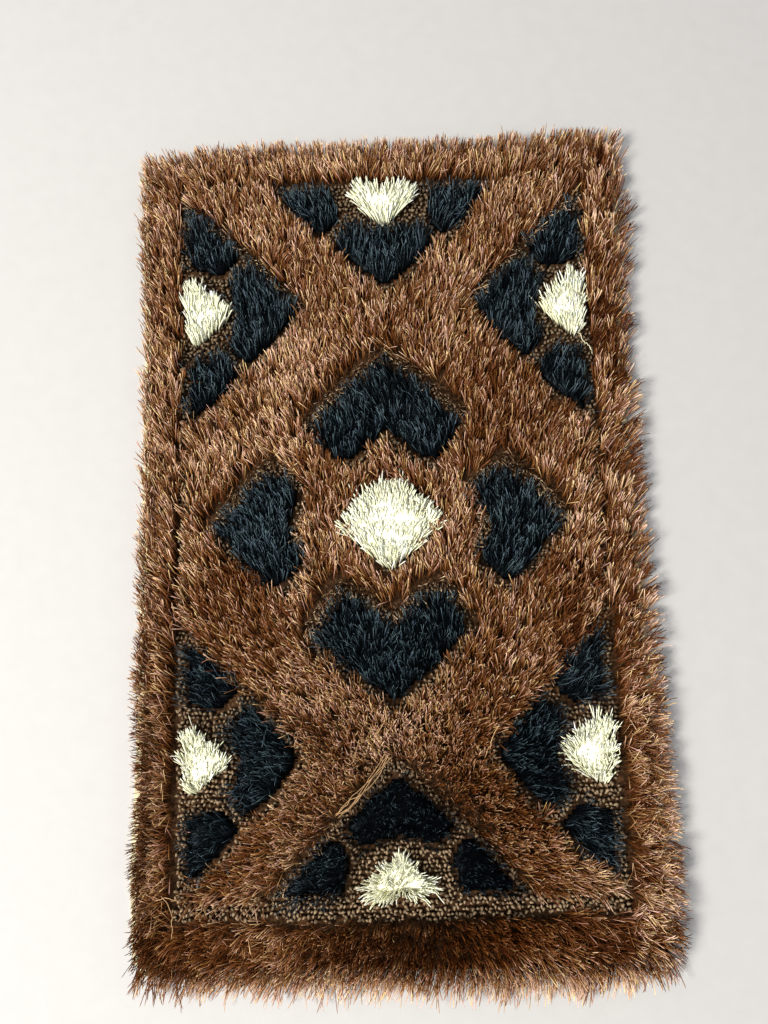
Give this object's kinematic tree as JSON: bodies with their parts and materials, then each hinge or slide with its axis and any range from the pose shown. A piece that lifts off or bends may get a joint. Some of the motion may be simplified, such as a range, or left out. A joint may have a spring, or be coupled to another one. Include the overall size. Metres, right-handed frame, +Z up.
{
  "type": "shaggy doormat",
  "caption": "Rectangular shaggy doormat of brown yarn on a backing cloth, with black hearts and ivory diamonds in the pile, outlined by low looped channels; it lies flat on a floor.",
  "frame": {"origin": "on the floor under the middle of the whole mat, tips of the pile included", "axes": "+X to the right across the mat, +Y along its length to the far end, +Z up out of the pile"},
  "size_m": [0.5123, 0.8338, 0.0265],
  "materials": {
    "cream_cloth": "woven cotton cloth, matt",
    "brown_yarn": "long polyester shag, soft sheen",
    "black_yarn": "long polyester shag, soft sheen",
    "ivory_yarn": "long polyester shag, soft sheen"
  },
  "bodies": {
    "root": {"backing_cloth": "cream_cloth", "brown_pile": "brown_yarn", "black_heart_far": "black_yarn", "black_heart_left": "black_yarn", "black_heart_near": "black_yarn", "black_heart_right": "black_yarn", "ivory_diamond": "ivory_yarn", "black_edge_heart_far": "black_yarn", "black_half_heart_far_a": "black_yarn", "black_half_heart_far_b": "black_yarn", "ivory_half_diamond_far": "ivory_yarn", "black_edge_heart_left_far": "black_yarn", "black_half_heart_left_far_a": "black_yarn", "black_half_heart_left_far_b": "black_yarn", "ivory_half_diamond_left_far": "ivory_yarn", "black_edge_heart_left_near": "black_yarn", "black_half_heart_left_near_a": "black_yarn", "black_half_heart_left_near_b": "black_yarn", "ivory_half_diamond_left_near": "ivory_yarn", "black_edge_heart_near": "black_yarn", "black_half_heart_near_a": "black_yarn", "black_half_heart_near_b": "black_yarn", "ivory_half_diamond_near": "ivory_yarn", "black_edge_heart_right_near": "black_yarn", "black_half_heart_right_near_a": "black_yarn", "black_half_heart_right_near_b": "black_yarn", "ivory_half_diamond_right_near": "ivory_yarn", "black_edge_heart_right_far": "black_yarn", "black_half_heart_right_far_a": "black_yarn", "black_half_heart_right_far_b": "black_yarn", "ivory_half_diamond_right_far": "ivory_yarn"}
  },
  "joints": []
}
